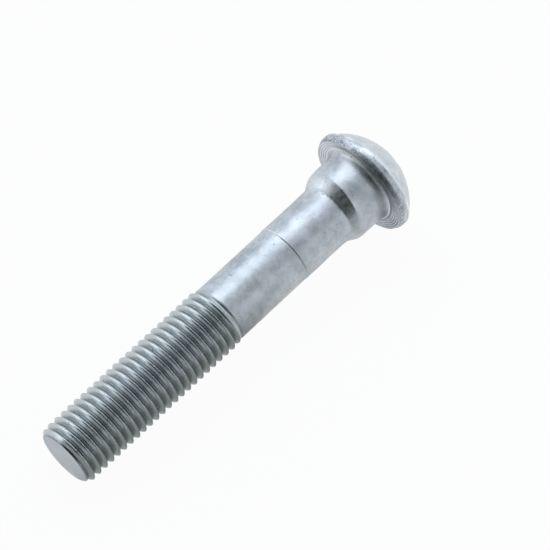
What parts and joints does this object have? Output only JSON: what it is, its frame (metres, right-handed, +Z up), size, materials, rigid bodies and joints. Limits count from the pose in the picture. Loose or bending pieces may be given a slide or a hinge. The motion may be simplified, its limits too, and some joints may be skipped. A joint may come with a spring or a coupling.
{
  "type": "cup head bolt",
  "caption": "Cup head bolt with an oval neck under its domed head, a plain shank and a coarse right-hand thread, dull hot-dip zinc finish.",
  "frame": {"origin": "middle of the box that the lying bolt fills, on the surface that it lies on", "axes": "+X along the bolt from the thread end to the head, +Z up from the surface that it lies on"},
  "size_m": [0.1308, 0.034, 0.0339],
  "materials": {
    "zinc_coated_steel": "dull hot-dip zinc, mottled light grey with small pits"
  },
  "bodies": {
    "root": {"bolt": "zinc_coated_steel"}
  },
  "joints": []
}
